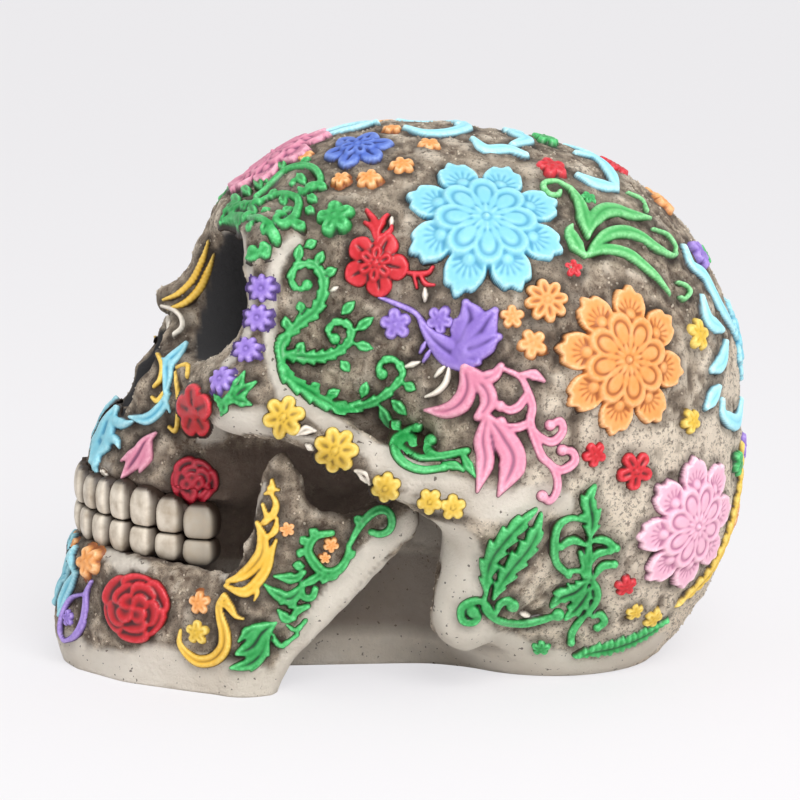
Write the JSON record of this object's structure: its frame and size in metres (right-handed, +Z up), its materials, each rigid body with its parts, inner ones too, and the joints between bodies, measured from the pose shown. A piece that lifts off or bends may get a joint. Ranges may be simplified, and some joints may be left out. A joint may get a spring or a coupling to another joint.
{
  "type": "resin skull figurine",
  "caption": "Life-size cast-resin skull ornament with closed jaw, painted raised flowers, roses, leaves and scrolls; stands on its flat base.",
  "frame": {"origin": "middle of the footprint, on the surface that the figurine stands on", "axes": "+Z up, the face looks along -Y, the skull's left side is +X"},
  "size_m": [0.148, 0.1908, 0.1459],
  "materials": {
    "cast_resin": "rough cast resin, dark wash in the pits, rubbed pale on the edges",
    "tooth_ivory": "ivory paint with a brown wash between the teeth",
    "sky_blue_paint": "matt acrylic paint, dry-brushed edges",
    "pale_blue_paint": "matt acrylic paint, dry-brushed edges",
    "royal_blue_paint": "matt acrylic paint, dry-brushed edges",
    "orange_paint": "matt acrylic paint, dry-brushed edges",
    "pink_paint": "matt acrylic paint, dry-brushed edges",
    "dusky_pink_paint": "matt acrylic paint, dry-brushed edges",
    "red_paint": "satin acrylic paint, pink dry-brushed edges",
    "crimson_paint": "satin acrylic paint",
    "yellow_paint": "matt acrylic paint, dark wash in the grooves",
    "ochre_paint": "matt acrylic paint, dark wash in the grooves",
    "violet_paint": "matt acrylic paint, dry-brushed edges",
    "leaf_green_paint": "satin acrylic paint, pale dry-brushed ridges",
    "grass_green_paint": "satin acrylic paint, pale dry-brushed ridges"
  },
  "bodies": {
    "root": {"cranium": "cast_resin", "jaw": "cast_resin", "upper_teeth": "tooth_ivory", "lower_teeth": "tooth_ivory", "left_blue_flower": "sky_blue_paint", "right_blue_flower": "sky_blue_paint", "left_nose_leaf": "sky_blue_paint", "right_nose_leaf": "sky_blue_paint", "chin_leaf": "sky_blue_paint", "left_crown_scroll": "pale_blue_paint", "right_crown_scroll": "pale_blue_paint", "left_back_scroll": "pale_blue_paint", "right_back_scroll": "pale_blue_paint", "left_royal_flower": "royal_blue_paint", "right_royal_flower": "royal_blue_paint", "left_orange_flower": "orange_paint", "right_orange_flower": "orange_paint", "left_marigold": "orange_paint", "right_marigold": "orange_paint", "left_pink_flower": "pink_paint", "right_pink_flower": "pink_paint", "left_pink_scroll": "dusky_pink_paint", "right_pink_scroll": "dusky_pink_paint", "forehead_flower": "dusky_pink_paint", "left_red_flower": "red_paint", "right_red_flower": "red_paint", "left_red_star": "red_paint", "right_red_star": "red_paint", "left_jaw_rose": "red_paint", "right_jaw_rose": "red_paint", "left_cheek_flower": "red_paint", "right_cheek_flower": "red_paint", "left_cheek_rose": "crimson_paint", "right_cheek_rose": "crimson_paint", "left_arch_flower_front": "yellow_paint", "right_arch_flower_front": "yellow_paint", "left_arch_flower_rear": "yellow_paint", "right_arch_flower_rear": "yellow_paint", "left_ramus_tendril": "ochre_paint", "right_ramus_tendril": "ochre_paint", "left_jaw_scroll": "ochre_paint", "right_jaw_scroll": "ochre_paint", "left_lily": "violet_paint", "right_lily": "violet_paint", "left_temple_scroll": "leaf_green_paint", "right_temple_scroll": "leaf_green_paint", "left_brow_scroll": "leaf_green_paint", "right_brow_scroll": "leaf_green_paint", "left_mastoid_leaf": "leaf_green_paint", "right_mastoid_leaf": "leaf_green_paint", "left_nape_scroll": "leaf_green_paint", "right_nape_scroll": "leaf_green_paint", "left_cheek_leaf": "leaf_green_paint", "right_cheek_leaf": "leaf_green_paint", "left_ramus_scroll": "leaf_green_paint", "right_ramus_scroll": "leaf_green_paint", "left_jaw_leaf": "leaf_green_paint", "right_jaw_leaf": "leaf_green_paint", "left_blade_plant": "grass_green_paint", "right_blade_plant": "grass_green_paint"}
  },
  "joints": []
}
